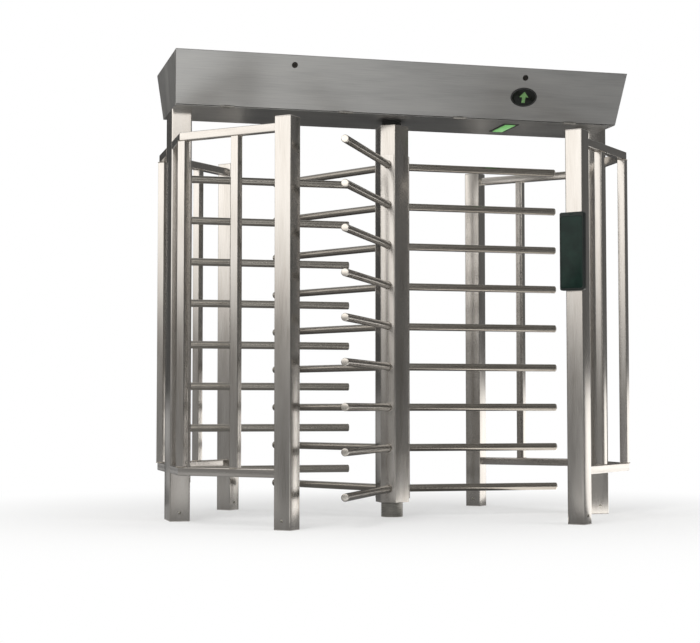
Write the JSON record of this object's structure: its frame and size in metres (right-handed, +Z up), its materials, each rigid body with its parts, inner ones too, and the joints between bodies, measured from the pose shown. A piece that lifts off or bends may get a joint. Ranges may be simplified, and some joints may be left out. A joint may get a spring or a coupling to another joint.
{
  "type": "full height turnstile",
  "caption": "Full height rotor turnstile: wings of round arms on a column turn past a fixed comb, between guard posts and side cages, under a flared hood with lock and damper.",
  "frame": {"origin": "on the floor, on the rotor's axis, at the centre of the pivot base's bolt circle", "axes": "+Z up, +X along the hood towards the free lane, -Y towards the entry side with the hood's indicator"},
  "size_m": [2.344, 1.6582, 2.28],
  "materials": {
    "brushed_stainless": "satin brushed",
    "arm_stainless": "satin polished tube",
    "hood_stainless": "satin brushed sheet",
    "machined_steel": "machined",
    "zinc_plated_steel": "zinc plated",
    "cast_base": "painted casting",
    "bearing_bronze": "turned",
    "black_plastic": "fine textured",
    "reader_glass": "polished dark panel",
    "indicator_glass": "polished dark lens",
    "lamp_lens": "diffusing lens",
    "seal_rubber": "moulded",
    "nickel_lock": "nickel plated",
    "solenoid_case": "lacquered",
    "control_case": "powder coated",
    "cap_steel": "bright end caps"
  },
  "bodies": {
    "frame": {"tall_post_left": "brushed_stainless", "tall_post_right": "brushed_stainless", "guard_post_front_left": "brushed_stainless", "guard_post_front_right": "brushed_stainless", "guard_post_rear_left": "brushed_stainless", "guard_post_rear_right": "brushed_stainless", "guard_post_caps": "brushed_stainless", "post_shoes": "machined_steel", "left_cage_rails": "brushed_stainless", "right_cage_rails": "brushed_stainless", "cage_bars": "brushed_stainless", "comb_stile": "brushed_stainless", "comb_bars": "arm_stainless", "frame_bolts": "zinc_plated_steel", "pivot_base": "machined_steel", "pivot_bearing": "bearing_bronze", "hood_top_panel": "hood_stainless", "hood_rear_panel": "hood_stainless", "hood_end_panels": "hood_stainless", "hood_soffit": "hood_stainless", "hood_screws": "zinc_plated_steel", "hood_beams": "zinc_plated_steel", "hood_ribs": "zinc_plated_steel", "mechanism_plate": "zinc_plated_steel", "bearing_housing": "cast_base", "top_bearing": "machined_steel", "shaft_seal": "seal_rubber", "pawl_pins": "machined_steel", "pawl_springs": "machined_steel", "lock_solenoids": "solenoid_case", "damper_body": "cast_base", "control_box": "control_case", "hinge_knuckles_fixed": "machined_steel", "lock_keepers": "zinc_plated_steel", "passage_lamp": "black_plastic", "passage_lamp_lens": "lamp_lens", "reader_housing": "black_plastic", "reader_window": "reader_glass"},
    "cover": {"hood_front_cover": "hood_stainless", "hinge_knuckles_moving": "machined_steel", "lock_barrels": "nickel_lock", "indicator_bezel": "black_plastic", "indicator_lens": "indicator_glass"},
    "rotor": {"rotor_column": "brushed_stainless", "rotor_shaft": "machined_steel", "pivot_spindle": "machined_steel", "wing_a_arms": "arm_stainless", "wing_b_arms": "arm_stainless", "wing_c_arms": "arm_stainless", "wing_plates": "brushed_stainless", "arm_caps": "cap_steel", "lock_disc": "machined_steel", "damper_gear": "machined_steel"},
    "lock_left": {"lock_plug_left": "nickel_lock"},
    "lock_right": {"lock_plug_right": "nickel_lock"},
    "pawl_entry": {"lock_pawl_entry": "machined_steel"},
    "pawl_exit": {"lock_pawl_exit": "machined_steel"},
    "plunger_entry_body": {"plunger_entry": "machined_steel"},
    "plunger_exit_body": {"plunger_exit": "machined_steel"},
    "damper_pinion_body": {"damper_pinion": "machined_steel"}
  },
  "joints": [
    {"name": "rotor_turn", "type": "hinge", "parent": "frame", "child": "rotor", "pos_m": [0, 0, 0], "axis": [0, 0, 1], "continuous": true},
    {"name": "cover_fold", "type": "hinge", "parent": "frame", "child": "cover", "pos_m": [0, -0.21548, 2.031], "axis": [1, 0, 0], "range_deg": [0, 90]},
    {"name": "lock_left_turn", "type": "hinge", "parent": "cover", "child": "lock_left", "pos_m": [-0.583, -0.31292, 2.234], "axis": [0, -0.9015, -0.4327], "range_deg": [0, 90]},
    {"name": "lock_right_turn", "type": "hinge", "parent": "cover", "child": "lock_right", "pos_m": [0.621, -0.31292, 2.234], "axis": [0, -0.9015, -0.4327], "range_deg": [0, 90]},
    {"name": "pawl_entry_swing", "type": "hinge", "parent": "frame", "child": "pawl_entry", "pos_m": [-0.107, -0.08, 2.146], "axis": [0, 0, -1], "range_deg": [0, 8], "stiffness_Nm_per_rad": 2},
    {"name": "plunger_entry_slide", "type": "slide", "parent": "frame", "child": "plunger_entry_body", "axis": [-1, 0, 0], "range_m": [0, 0.008]},
    {"name": "pawl_exit_swing", "type": "hinge", "parent": "frame", "child": "pawl_exit", "pos_m": [0.107, -0.08, 2.146], "axis": [0, 0, 1], "range_deg": [0, 8], "stiffness_Nm_per_rad": 2},
    {"name": "plunger_exit_slide", "type": "slide", "parent": "frame", "child": "plunger_exit_body", "axis": [1, 0, 0], "range_m": [0, 0.008]},
    {"name": "damper_spin", "type": "hinge", "parent": "frame", "child": "damper_pinion_body", "pos_m": [0, 0.104, 0], "axis": [0, 0, 1], "continuous": true}
  ],
  "couplings": [
    {"joint": "plunger_entry_slide", "follows": "pawl_entry_swing", "m_per_rad": 0.057},
    {"joint": "plunger_exit_slide", "follows": "pawl_exit_swing", "m_per_rad": 0.057},
    {"joint": "damper_spin", "follows": "rotor_turn", "ratio": -3.3333}
  ]
}
